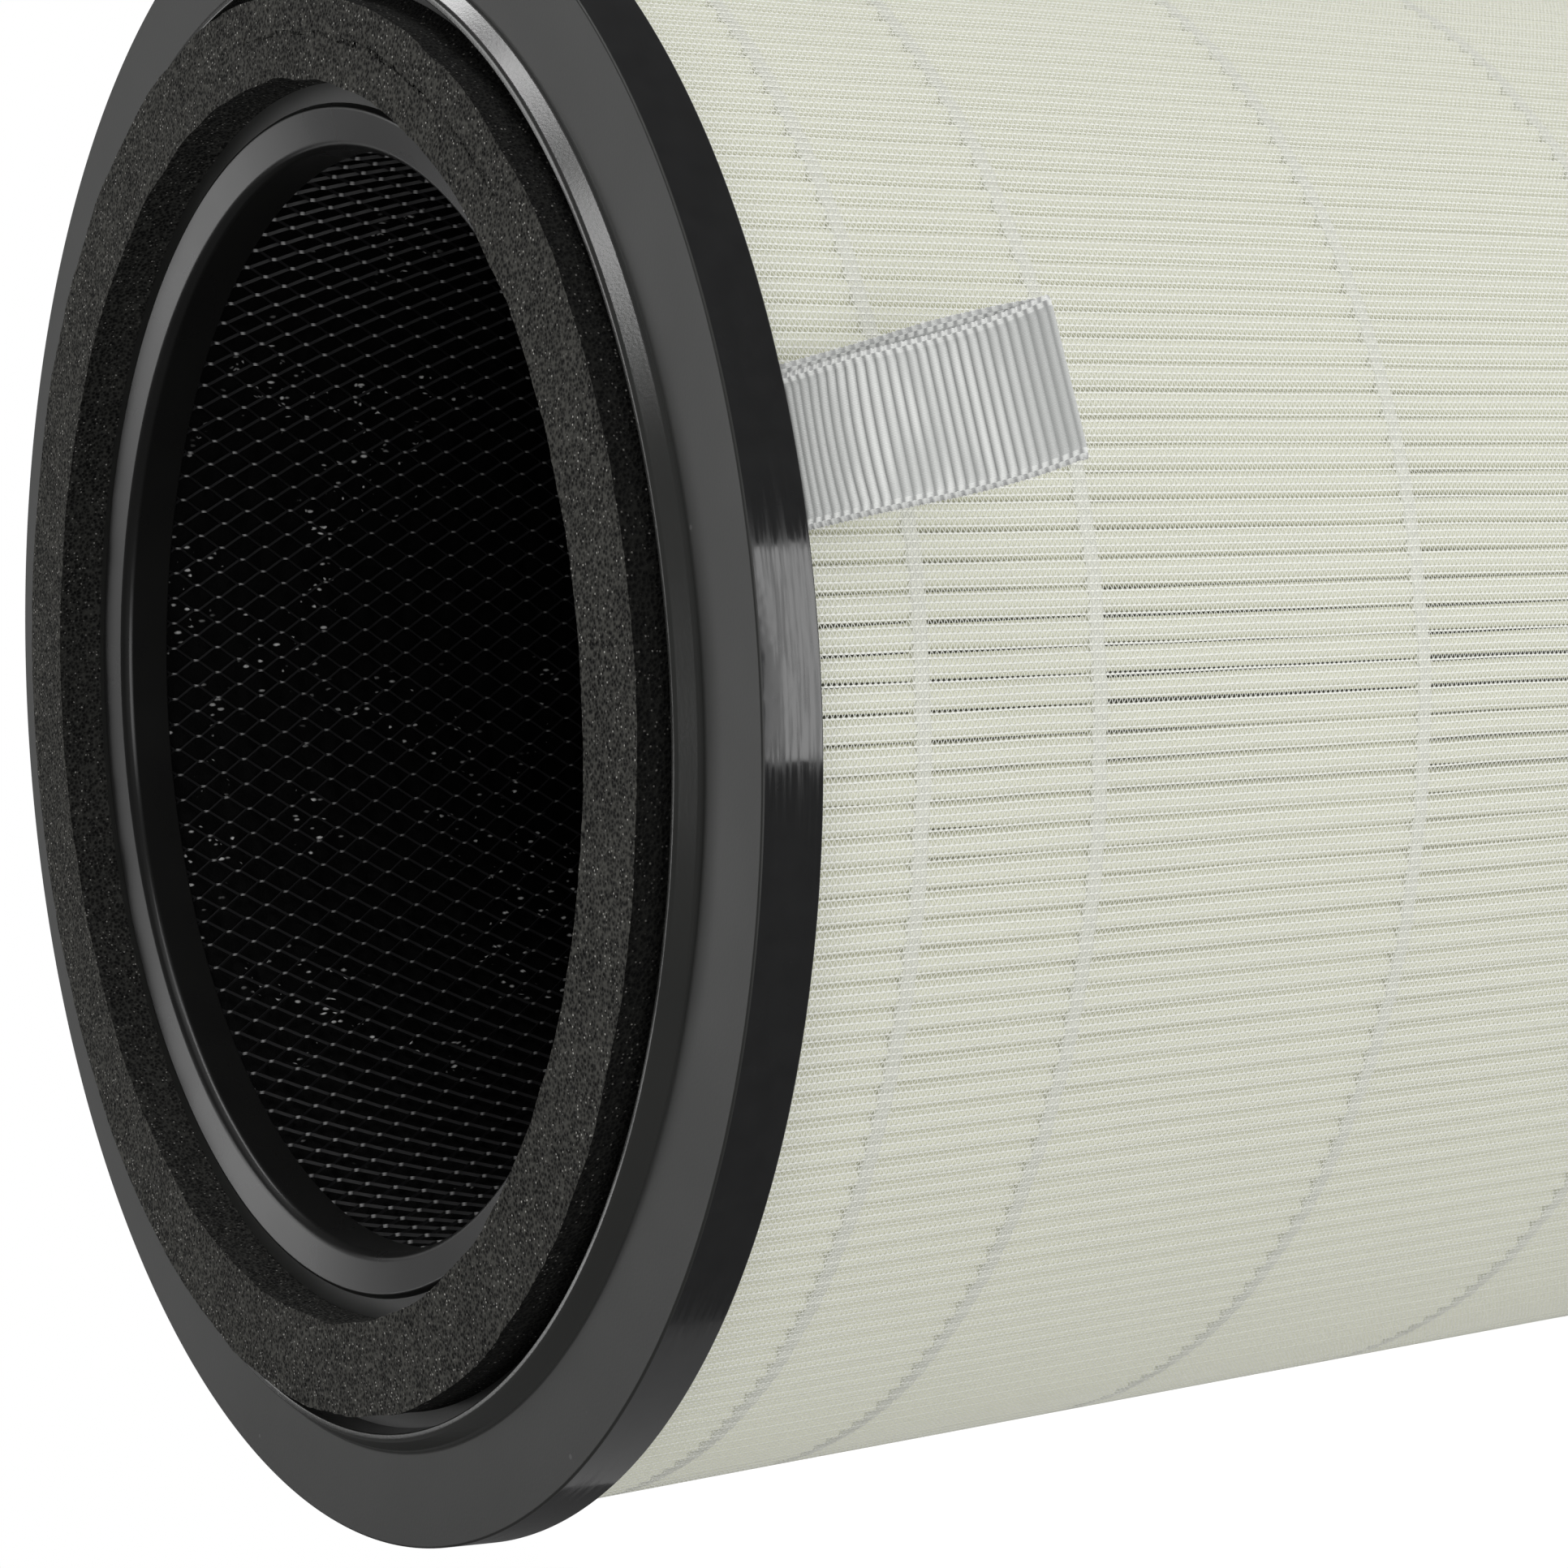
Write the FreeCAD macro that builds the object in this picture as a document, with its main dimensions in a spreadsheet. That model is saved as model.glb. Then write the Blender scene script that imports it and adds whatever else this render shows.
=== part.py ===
"""A round air purifier filter: a pleated paper ring with a bed of carbon granules inside it, glued into two
moulded caps. It stands on its closed cap, with the axis along +Z and the origin in the middle of the
underside. Air comes in through the pleats from all round and leaves through the collar of the open cap, whose
foam ring seals against the purifier. The pull ribbon hangs out under the rim of the open cap, towards -Y.
All sizes are in millimetres."""

import FreeCAD
import Part
import math
import os
import Sketcher

SIZES = {
    # The whole filter
    "filter_length": 251.5,  # underside of the closed cap to the flat face of the open cap
    "fit_gap": 0.1,  # play where one ring slides into another
    "glue_gap": 0.05,  # film of glue between layers that are bonded
    # The layers, from the collar outwards
    "collar_bore": 151.2,  # inner diameter of the collar of the open cap
    "collar_wall": 1.2,
    "net_thickness": 0.8,
    "carbon_thickness": 9.3,
    "cloth_thickness": 0.6,
    "pleat_depth": 23.85,
    "netting_wall": 0.12,
    "netting_ridge": 0.8,  # rise of the netting where it rides over a fold
    "netting_play": 0.5,  # between the netting and the root of the rim
    # The folds of the paper
    "paper_thickness": 0.35,
    "pleat_count": 200,
    "netting_sides": 40,  # flats of the netting's inner side
    # The moulded trays of the two caps
    "cap_thickness": 2.4,
    "rim_height": 7.7,
    "rim_wall": 0.9,
    "rim_draft": 0.6,  # how much the rim's radius grows from the face to its edge
    "rim_flare": 0.8,  # the same for the inside of the rim
    "collar_depth": 8.9,  # edge of the collar below the flat face
    # The open cap's face, from the collar outwards: a funnel, the seat of the foam and a raised bead
    "funnel_width": 5.7,
    "funnel_depth": 1.9,  # where the funnel meets the bore, below the flat face
    "seat_depth": 1.2,
    "foam_inner_play": 3.1,
    "foam_width": 12.6,
    "foam_thickness": 6.4,
    "foam_outer_play": 2.4,
    "bead_height": 2.45,
    "bead_flank": 1.9,
    "bead_top": 0.8,
    # The diamond net round the air outlet, coarser here than the real one
    "net_columns": 12,
    "net_rows": 4,
    "net_strand": 2.6,
    "net_hoop": 9.0,
    # The pull ribbon, one band folded into a loop
    "ribbon_width": 18.0,
    "ribbon_thickness": 0.28,
    "ribbon_tuck": 1.8,  # length of its ends under the rim
    "ribbon_reach": 25.0,  # how far the loop stands off from the netting
    "ribbon_drop": 20.4,  # how far its end lies below the rim
    "ribbon_slack": 19.0,  # length over which the two layers stand apart
    "ribbon_opening": 1.2,  # between the two layers in the middle of that length
}

doc = FreeCAD.newDocument("round_filter")
sheet = doc.addObject("Spreadsheet::Sheet", "sizes")
for row, (alias, number) in enumerate(SIZES.items(), start=1):
    sheet.set(f"A{row}", alias)
    sheet.set(f"B{row}", str(number))
    sheet.setAlias(f"B{row}", alias)
doc.recompute()


class Size:
    """A length together with the formula that gives it from the cells of the sheet."""

    def __init__(self, number, formula):
        self.number = number
        self.formula = formula

    def combine(self, other, sign, number):
        return Size(number, f"({self.formula} {sign} {other.formula})")

    def __add__(self, other):
        other = as_size(other)
        return self.combine(other, "+", self.number + other.number)

    def __sub__(self, other):
        other = as_size(other)
        return self.combine(other, "-", self.number - other.number)

    def __mul__(self, other):
        other = as_size(other)
        return self.combine(other, "*", self.number * other.number)

    def __truediv__(self, other):
        other = as_size(other)
        return self.combine(other, "/", self.number / other.number)


def as_size(value):
    return value if isinstance(value, Size) else Size(float(value), str(value))


def cell(alias):
    """The number in one cell of the sheet."""
    return float(getattr(sheet, alias))


def size(alias):
    """The value of one cell of the sheet, to build other lengths from."""
    return Size(cell(alias), f"sizes.{alias}")


def profile_sketch(body, name, points):
    """A closed outline in the plane of radius and height, each corner tied to its formulas."""
    plane = [f for f in body.Origin.OriginFeatures if f.Role == "XZ_Plane"][0]
    sketch = body.newObject("Sketcher::SketchObject", name)
    sketch.AttachmentSupport = [(plane, "")]
    sketch.MapMode = "FlatFace"
    corners = [FreeCAD.Vector(r.number, z.number, 0) for r, z in points]
    count = len(corners)
    for i, corner in enumerate(corners):
        sketch.addGeometry(Part.LineSegment(corner, corners[(i + 1) % count]), False)
    for i in range(count):
        sketch.addConstraint(Sketcher.Constraint("Coincident", i, 2, (i + 1) % count, 1))
    for i, (r, z) in enumerate(points):
        for kind, value, axis in (("DistanceX", r, -2), ("DistanceY", z, -1)):
            if value.number == 0.0:
                sketch.addConstraint(Sketcher.Constraint("PointOnObject", i, 1, axis))
                continue
            place = sketch.addConstraint(Sketcher.Constraint(kind, -1, 1, i, 1, value.number))
            sketch.renameConstraint(place, f"{kind}_{i}")
            sketch.setExpression(f"Constraints.{kind}_{i}", value.formula)
    return sketch


def turned(name, points):
    """A piece with a round section: its outline turned once round the filter's axis."""
    body = doc.addObject("PartDesign::Body", name)
    body.Label = name
    sketch = profile_sketch(body, f"{name}_outline", points)
    turn = body.newObject("PartDesign::Revolution", f"{name}_turn")
    turn.Profile = sketch
    turn.ReferenceAxis = (sketch, ["V_Axis"])
    turn.Angle = 360
    body.Tip = turn
    sketch.Visibility = False
    return body


ground = Size(0.0, "0")
axis = Size(0.0, "0")
fit_gap = size("fit_gap")
glue_gap = size("glue_gap")

# Heights that several pieces share, from the underside of the closed cap upwards
face = size("filter_length")
tray_top = face - size("cap_thickness")
tray_bottom = size("cap_thickness")
upper_rim_edge = face - size("rim_height")
lower_rim_edge = size("rim_height")


def flat_share(count):
    """How far the flats of a regular polygon are from its middle, as a share of how far its corners are."""
    return Size(math.cos(math.pi / count.number), f"cos(180 deg / {count.formula})")


# Radii of the layers. The net, the bed and its cloth are rolled from flat stock, with two flat sides to each
# column of diamonds, and their radii are measured to the corners.
bore_radius = size("collar_bore") / 2
collar_radius = bore_radius + size("collar_wall")
sides = size("net_columns") * 2
net_inner_radius = (collar_radius + fit_gap) / flat_share(sides)
net_outer_radius = net_inner_radius + size("net_thickness")
carbon_inner_radius = net_outer_radius + glue_gap
carbon_outer_radius = carbon_inner_radius + size("carbon_thickness")
cloth_inner_radius = carbon_outer_radius + glue_gap
cloth_outer_radius = cloth_inner_radius + size("cloth_thickness")
fold_root_radius = cloth_outer_radius + glue_gap
fold_tip_radius = fold_root_radius + size("pleat_depth")
netting_inner_radius = (fold_tip_radius + glue_gap) / flat_share(size("netting_sides"))
netting_hollow_radius = netting_inner_radius + size("netting_wall")
netting_outer_radius = netting_hollow_radius + size("netting_ridge")

# Radii of the rims, which are the same on both caps
rim_root_radius = netting_outer_radius + size("netting_play")
rim_mouth_radius = rim_root_radius + size("rim_flare")
cap_radius = rim_root_radius + size("rim_wall")
rim_edge_radius = cap_radius + size("rim_draft")

# The foam ring and its seat in the face of the open cap
seat = face - size("seat_depth")
seat_radius = bore_radius + size("funnel_width")
foam_inner_radius = seat_radius + size("foam_inner_play")
foam_outer_radius = foam_inner_radius + size("foam_width")
bead_radius = foam_outer_radius + size("foam_outer_play")


def open_cap():
    """The moulded ring with the collar that the air leaves through and the seat of the foam ring."""
    bead_top = face + size("bead_height")
    bead_shoulder = bead_radius + size("bead_top")
    bead_foot = bead_shoulder + size("bead_flank")
    collar_edge = face - size("collar_depth")
    return turned(
        "open_end_cap",
        [
            (rim_edge_radius, upper_rim_edge),
            (cap_radius, face),
            (bead_foot, face),
            (bead_shoulder, bead_top),
            (bead_radius, bead_top),
            (bead_radius, seat),
            (seat_radius, seat),
            (bore_radius, face - size("funnel_depth")),
            (bore_radius, collar_edge),
            (collar_radius, collar_edge),
            (collar_radius, tray_top),
            (rim_root_radius, tray_top),
            (rim_mouth_radius, upper_rim_edge),
        ],
    )


def closed_cap():
    """The plain moulded tray that the filter stands on."""
    return turned(
        "closed_end_cap",
        [
            (axis, ground),
            (cap_radius, ground),
            (rim_edge_radius, lower_rim_edge),
            (rim_mouth_radius, lower_rim_edge),
            (rim_root_radius, tray_bottom),
            (axis, tray_bottom),
        ],
    )


def foam_ring():
    """The soft ring in the seat of the open cap. It stands proud of the bead, to be pressed flat in use."""
    top = seat + size("foam_thickness")
    return turned(
        "gasket_ring",
        [
            (foam_inner_radius, seat),
            (foam_outer_radius, seat),
            (foam_outer_radius, top),
            (foam_inner_radius, top),
        ],
    )


def made(name, shape):
    """A piece whose shape is worked out by a loop, put into the document under its own name."""
    feature = doc.addObject("Part::Feature", name)
    feature.Label = name
    feature.Shape = shape
    feature.Placement = FreeCAD.Placement()
    return feature


def at(radius, angle, height=0.0):
    """The point at a radius, an angle in radians and a height."""
    return FreeCAD.Vector(radius * math.cos(angle), radius * math.sin(angle), height)


def wall_between(outside, inside):
    """A straight wall as high as the layers, between two closed rings of points."""
    rings = [Part.makePolygon(points + points[:1]) for points in (outside, inside)]
    section = Part.makeFace(rings, "Part::FaceMakerBullseye")
    wall = section.extrude(FreeCAD.Vector(0, 0, tray_top.number - tray_bottom.number))
    wall.translate(FreeCAD.Vector(0, 0, tray_bottom.number))
    return wall


def rolled(inner_radius, outer_radius):
    """A sheet or bed that goes round the axis in flat sides, measured across the corners."""
    count = int(sides.number)
    rings = []
    for radius in (outer_radius.number, inner_radius.number):
        rings.append([at(radius, 2 * math.pi * i / count) for i in range(count)])
    return wall_between(*rings)


def pleated_media():
    """One band of paper folded to and fro in sharp pleats. In a sharp fold the inner crease lies further back
    than the thickness of the paper, as far as its two flanks take to part."""
    count = int(cell("pleat_count"))
    tip = fold_tip_radius.number
    root = fold_root_radius.number
    half_pitch = math.pi / count
    lean = cell("paper_thickness") * (tip - root) / half_pitch
    outside = []
    inside = []
    for i in range(count):
        valley = 2 * i * half_pitch
        crest = valley + half_pitch
        outside += [at(root + lean / root, valley), at(tip, crest)]
        inside += [at(root, valley), at(tip - lean / tip, crest)]
    return made("pleated_media", wall_between(outside, inside))


def outer_netting():
    """The sleeve of thin netting, which rides over the tips of the pleats and sinks between them."""
    count = int(cell("pleat_count"))
    corners = int(cell("netting_sides"))
    half_pitch = math.pi / count
    outside = []
    for i in range(count):
        outside.append(at(netting_hollow_radius.number, 2 * i * half_pitch))
        outside.append(at(netting_outer_radius.number, (2 * i + 1) * half_pitch))
    inside = [at(netting_inner_radius.number, 2 * math.pi * i / corners) for i in range(corners)]
    return made("outer_netting", wall_between(outside, inside))


def net_gap(angle, height, half_width, half_height):
    """The diamond that is punched out of the net, drawn inside it and pointing away from the axis."""
    near = net_inner_radius.number / 2
    reach = net_outer_radius.number
    across = FreeCAD.Vector(-math.sin(angle), math.cos(angle), 0) * half_width
    up = FreeCAD.Vector(0, 0, half_height)
    middle = at(near, angle, height)
    corners = [middle + across, middle + up, middle - across, middle - up]
    return Part.Face(Part.makePolygon(corners + corners[:1])).extrude(at(reach, angle))


def inner_net():
    """The stiff net that holds the granules back from the air outlet, with a plain hoop at each end."""
    columns = int(cell("net_columns"))
    rows = int(cell("net_rows"))
    strand = cell("net_strand")
    low = tray_bottom.number + cell("net_hoop")
    high = tray_top.number - cell("net_hoop")
    cell_width = 2 * net_inner_radius.number * math.sin(math.pi / columns)
    cell_height = 2 * (high - low) / (rows + 1)
    slant = math.hypot(cell_width, cell_height)
    half_width = cell_width / 2 - strand * slant / cell_height / 2
    half_height = cell_height / 2 - strand * slant / cell_width / 2
    gaps = []
    for row in range(rows):
        height = low + (row + 1) * cell_height / 2
        for column in range(columns):
            angle = 2 * math.pi * (column + 0.5 * (row % 2)) / columns
            gaps.append(net_gap(angle, height, half_width, half_height))
    return made("inner_net", rolled(net_inner_radius, net_outer_radius).cut(gaps))


def pull_ribbon():
    """A band folded into a loop. Its two ends lie on each other under the rim, and the loop stands off straight
    below the rim. Its two layers part in a flat arc each, near the rim, and then lie on each other again."""
    thick = cell("ribbon_thickness")
    width = cell("ribbon_width")
    reach = cell("ribbon_reach")
    drop = cell("ribbon_drop")
    slack_end = cell("ribbon_slack")
    bulge = cell("ribbon_opening") / 2
    back = netting_outer_radius.number + glue_gap.number
    rim_edge = upper_rim_edge.number
    length = math.hypot(reach, drop)
    mitre = thick * (length - drop) / reach
    along = FreeCAD.Vector(0, -reach / length, -drop / length)
    aside = FreeCAD.Vector(0, -drop / length, reach / length)
    root = FreeCAD.Vector(-width / 2, -(back + thick), rim_edge)
    up = FreeCAD.Vector(0, 0, cell("ribbon_tuck"))

    def side_point(distance, offset):
        """A point on the loop, from its root along the band and aside from its middle."""
        return root + along * distance + aside * offset

    def arched(start, end, offset, rise):
        """An arc from one place along the band to another, on one side of its middle."""
        middle = side_point((start + end) / 2, offset + rise)
        return Part.Arc(side_point(start, offset), middle, side_point(end, offset)).toShape()

    front_bend = side_point(mitre, thick)
    back_bend = side_point(-mitre, -thick)
    tip = Part.Arc(side_point(length, thick), side_point(length + thick, 0), side_point(length, -thick))
    front_top = root + up - FreeCAD.Vector(0, thick, 0)
    back_top = root + up + FreeCAD.Vector(0, thick, 0)
    outline = Part.Wire(
        [
            Part.makeLine(back_top, front_top),
            Part.makeLine(front_top, front_bend),
            arched(mitre, slack_end, thick, bulge),
            Part.makeLine(side_point(slack_end, thick), side_point(length, thick)),
            tip.toShape(),
            Part.makeLine(side_point(length, -thick), side_point(slack_end, -thick)),
            arched(slack_end, -mitre, -thick, -bulge),
            Part.makeLine(back_bend, back_top),
        ]
    )
    slit_start = 2 * thick
    slit_end = slack_end - 2 * thick
    slit = Part.Wire([arched(slit_start, slit_end, 0, bulge), arched(slit_end, slit_start, 0, -bulge)])
    section = Part.makeFace([outline, slit], "Part::FaceMakerBullseye")
    return made("pull_ribbon", section.extrude(FreeCAD.Vector(width, 0, 0)))


pieces = [
    closed_cap(),
    made("carbon_bed", rolled(carbon_inner_radius, carbon_outer_radius)),
    made("carbon_cloth", rolled(cloth_inner_radius, cloth_outer_radius)),
    inner_net(),
    pleated_media(),
    outer_netting(),
    open_cap(),
    foam_ring(),
    pull_ribbon(),
]
doc.recompute()

for thing in doc.Objects:
    if "Invalid" in thing.State or "Error" in thing.State:
        raise RuntimeError(f"{thing.Name} failed: {thing.State}")
for piece in pieces:
    if piece.Shape.isNull() or not piece.Shape.isValid():
        raise RuntimeError(f"{piece.Label} has no valid shape")

os.makedirs("parts", exist_ok=True)
for piece in pieces:
    piece.Shape.exportStep(f"parts/{piece.Label}.step")
    print(piece.Label, len(piece.Shape.Solids), round(piece.Shape.Volume, 1))
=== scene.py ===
"""The finish of a round air purifier filter that stands on its closed end: moulded caps with rounded edges,
an open foam gasket, knitted netting over creamy pleats, a black diamond net before carbon granules, and a
ribbed pull ribbon. Lengths are in metres and Z is the filter's axis."""

import math

import bmesh
import bpy
from mathutils import Matrix, Vector, noise


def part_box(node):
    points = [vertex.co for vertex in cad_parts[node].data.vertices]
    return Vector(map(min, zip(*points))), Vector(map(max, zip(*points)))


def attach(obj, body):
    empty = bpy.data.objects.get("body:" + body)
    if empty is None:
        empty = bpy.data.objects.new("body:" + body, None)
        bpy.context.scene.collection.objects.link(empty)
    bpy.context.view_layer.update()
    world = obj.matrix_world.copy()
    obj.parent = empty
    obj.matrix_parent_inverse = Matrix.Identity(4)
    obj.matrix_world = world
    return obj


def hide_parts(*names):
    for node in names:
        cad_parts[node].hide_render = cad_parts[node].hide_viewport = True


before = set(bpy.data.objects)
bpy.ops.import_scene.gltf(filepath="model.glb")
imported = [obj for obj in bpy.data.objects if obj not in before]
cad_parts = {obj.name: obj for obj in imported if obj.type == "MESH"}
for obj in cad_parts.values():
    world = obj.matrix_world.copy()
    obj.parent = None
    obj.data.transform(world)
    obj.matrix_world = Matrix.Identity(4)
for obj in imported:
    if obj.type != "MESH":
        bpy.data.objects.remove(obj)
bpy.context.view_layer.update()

# Camera
# The photograph shows the filter lying down and cut off at its top and right, so the view is rolled here: the
# filter's axis points left in the picture. Place and turn come from the circles of the open cap, in units of
# its radius. They are turned about the axis by 13 degrees, so that the ribbon hangs towards -Y.
MM = 0.001
rim_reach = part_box("open_end_cap")[1].x
bead_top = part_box("open_end_cap")[1].z
bead_rise = 2.45 * MM
rim_flare = 0.6 * MM
face = bead_top - bead_rise
cap_radius = rim_reach - rim_flare
ribbon_turn = Matrix.Rotation(math.radians(-13.35), 3, "Z")
eye_in_radii = Vector((0.0056, -3.790, 1.741))
view_right = ribbon_turn @ Vector((-0.04465, -0.53518, -0.84355))
view_up = ribbon_turn @ Vector((0.99860, 0.0, -0.05286))
view_right.normalize()
view_up = (view_up - view_right * view_up.dot(view_right)).normalized()
lens = bpy.data.cameras.new("photo_lens")
lens.sensor_width = 36
lens.lens = 79.2
lens.shift_x = -0.0012
lens.shift_y = -0.0040
lens.clip_start = 0.01
camera = bpy.data.objects.new("photo_camera", lens)
camera.matrix_world = Matrix((view_right, view_up, view_right.cross(view_up))).transposed().to_4x4()
camera.location = ribbon_turn @ (eye_in_radii * cap_radius) + Vector((0, 0, face))
bpy.context.scene.collection.objects.link(camera)
bpy.context.scene.camera = camera
bpy.context.scene.view_settings.view_transform = "Standard"

# Open end cap
# A ring moulded in black plastic, satin on its face and polished on its rim, with a bead and a collar round
# the seat of the foam. Every edge has the small radius of the mould. The layers are glued in behind it.


class Wire:
    """One output of a shader node. Sums and products of wires add the Math nodes that work them out."""

    def __init__(self, socket):
        self.socket = socket

    def math(self, operation, *values):
        node = self.socket.id_data.nodes.new("ShaderNodeMath")
        node.operation = operation
        for place, value in zip(node.inputs, values):
            plug(place, value)
        return Wire(node.outputs[0])

    def __add__(self, other):
        return self.math("ADD", self, other)

    def __sub__(self, other):
        return self.math("SUBTRACT", self, other)

    def __rsub__(self, other):
        return self.math("SUBTRACT", other, self)

    def __mul__(self, other):
        return self.math("MULTIPLY", self, other)

    def __truediv__(self, other):
        return self.math("DIVIDE", self, other)

    def __pow__(self, other):
        return self.math("POWER", self, other)

    def __mod__(self, other):
        return self.math("FLOORED_MODULO", self, other)

    def __gt__(self, other):
        return self.math("GREATER_THAN", self, other)

    def __or__(self, other):
        return self.math("MAXIMUM", self, other)

    def __abs__(self):
        return self.math("ABSOLUTE", self)

    __radd__ = __add__
    __rmul__ = __mul__


def plug(place, value):
    """Puts a wire or a plain value into an input socket."""
    if isinstance(value, Wire):
        place.id_data.links.new(value.socket, place)
    else:
        place.default_value = value


class Finish:
    """A procedural material around one Principled shader."""

    def __init__(self, name, **constants):
        self.material = bpy.data.materials.new(name)
        self.material.use_nodes = True
        self.tree = self.material.node_tree
        self.shader = self.tree.nodes["Principled BSDF"]
        self.set(**constants)

    def set(self, **values):
        for name, value in values.items():
            plug(self.shader.inputs[name.replace("_", " ")], value)

    def node(self, kind, settings=(), **values):
        """Adds a node and returns its outputs by name."""
        node = self.tree.nodes.new("ShaderNode" + kind)
        for name, value in dict(settings).items():
            setattr(node, name, value)
        for name, value in values.items():
            plug(node.inputs[name.replace("_", " ")], value)
        return {output.name: Wire(output) for output in node.outputs if output.enabled}

    def place(self):
        """The object's own coordinates."""
        return self.node("TexCoord")["Object"]

    def round_place(self):
        """Angle about the axis in radians, distance from the axis, and height."""
        x, y, z = self.node("SeparateXYZ", Vector=self.place()).values()
        return y.math("ARCTAN2", y, x), (x * x + y * y) ** 0.5, z

    def vector(self, x, y, z):
        return self.node("CombineXYZ", X=x, Y=y, Z=z)["Vector"]

    def noise(self, place, scale, detail=2.0, roughness=0.5):
        values = {"Vector": place, "Scale": scale, "Detail": detail, "Roughness": roughness}
        return list(self.node("TexNoise", **values).values())[0]

    def grains(self, place, scale):
        """Cells of random size: the distance from a cell's middle, and a random number for each cell."""
        cells = self.node("TexVoronoi", {"feature": "F1"}, Vector=place, Scale=scale)
        return cells["Distance"], self.node("SeparateColor", Color=cells["Color"])["Red"]

    def between(self, value, low, high, to_low=0.0, to_high=1.0):
        """A smooth step of a value from one range to another."""
        node = self.tree.nodes.new("ShaderNodeMapRange")
        node.interpolation_type = "SMOOTHSTEP"
        for place, number in zip(node.inputs, (value, low, high, to_low, to_high)):
            plug(place, number)
        return Wire(node.outputs[0])

    def blend(self, share, first, second):
        """One colour where the share is 0 and the other where it is 1."""
        node = self.tree.nodes.new("ShaderNodeMix")
        node.data_type = "RGBA"
        plug(node.inputs["Factor"], share)
        for place, colour in ((node.inputs[6], first), (node.inputs[7], second)):
            plug(place, colour if isinstance(colour, Wire) else (*colour, 1.0))
        return Wire(node.outputs[2])

    def bump(self, height, distance, strength=1.0):
        """Raises the surface by a height from 0 to 1, over a distance in metres."""
        values = {"Height": height, "Distance": distance, "Strength": strength}
        self.set(Normal=self.node("Bump", **values)["Normal"])


def shape(name, mesh, finishes, slot, *nodes):
    """Makes an object of a finished bmesh, which rides on the filter and stands for the named solids."""
    data = bpy.data.meshes.new(name)
    mesh.to_mesh(data)
    mesh.free()
    thing = bpy.data.objects.new(name, data)
    bpy.context.scene.collection.objects.link(thing)
    for finish in finishes:
        data.materials.append(finish.material)
    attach(thing, "root")
    if nodes:
        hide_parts(*nodes)
    return thing


def turned(outline, steps):
    """Turns an outline of radius, height and rounding round the axis, with the rounding at its corners."""
    mesh = bmesh.new()
    corners = [mesh.verts.new((radius, 0, height)) for radius, height, _ in outline]
    for start, end in zip(corners, corners[1:] + corners[:1]):
        mesh.edges.new((start, end))
    for rounding in sorted({corner[2] for corner in outline} - {0}):
        bmesh.ops.bevel(
            mesh,
            geom=[corner for corner, (_, _, own) in zip(corners, outline) if own == rounding],
            offset=rounding,
            segments=4,
            profile=0.5,
            affect="VERTICES",
            material=-1,
        )
    bmesh.ops.spin(
        mesh,
        geom=mesh.verts[:] + mesh.edges[:],
        cent=(0, 0, 0),
        axis=(0, 0, 1),
        angle=2 * math.pi,
        steps=steps,
        use_merge=True,
    )
    bmesh.ops.remove_doubles(mesh, verts=mesh.verts, dist=1e-7)
    bmesh.ops.recalc_face_normals(mesh, faces=mesh.faces)
    smoothed(mesh)
    return mesh


def smoothed(mesh, sharp_angle=50):
    """Shades a mesh smooth, apart from its sharp edges."""
    for side in mesh.faces:
        side.smooth = True
    for edge in mesh.edges:
        edge.smooth = edge.calc_face_angle(0) < math.radians(sharp_angle)


def weigh_normals(thing):
    """Keeps broad faces flat next to their rounded edges."""
    modifier = thing.modifiers.new("flat_faces", "WEIGHTED_NORMAL")
    modifier.weight = 90
    modifier.keep_sharp = True


def cap_face_finish(name, roughness, ior):
    """Satin black plastic, with the faint clouds and specks of a moulding."""
    finish = Finish(name, IOR=ior)
    place = finish.place()
    clouds = finish.noise(place, 45.0, 3.0)
    pits = finish.noise(place, 2600.0, 2.0)
    distance, chance = finish.grains(place, 210.0)
    dust = finish.between(distance, 0.05, 0.09, 1.0, 0.0) * (chance > 0.8)
    base = finish.blend(clouds, (0.018, 0.0185, 0.0172), (0.025, 0.0255, 0.0238))
    finish.set(Base_Color=finish.blend(dust * 0.5, base, (0.12, 0.12, 0.12)))
    finish.set(Roughness=roughness + clouds * 0.12 + pits * 0.04)
    finish.bump(pits, 0.02 * MM, 0.5)
    return finish


def cap_rim_finish():
    """The same plastic polished by the wall of the mould, with faint drag marks that run round the rim."""
    finish = Finish("cap_rim", IOR=1.46)
    angle, _, height = finish.round_place()
    strokes = finish.noise(finish.vector(angle * 9.0, height * 1400.0, 0.0), 1.0, 3.0, 0.6)
    drag = finish.between(strokes, 0.4, 0.65)
    waves = finish.noise(finish.vector(angle * 14.0, height * 120.0, 0.0), 2.0, 2.0)
    finish.set(Base_Color=finish.blend(waves, (0.010, 0.0101, 0.0103), (0.016, 0.0162, 0.0165)))
    finish.set(Roughness=0.06 + drag * 0.10)
    finish.bump(waves, 0.02 * MM, 0.5)
    return finish


def cap_collar_finish():
    """The lip and the bore of the collar, smoother than the face and painted blacker as the shade of the
    bore.
    """
    finish = Finish("cap_collar_painted_shade", IOR=1.46)
    clouds = finish.noise(finish.place(), 70.0, 3.0)
    # Painted shade: the same plastic as the face, with a much darker colour.
    finish.set(Base_Color=finish.blend(clouds, (0.006, 0.006, 0.006), (0.010, 0.010, 0.0095)))
    finish.set(Roughness=0.24 + clouds * 0.08)
    return finish


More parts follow.
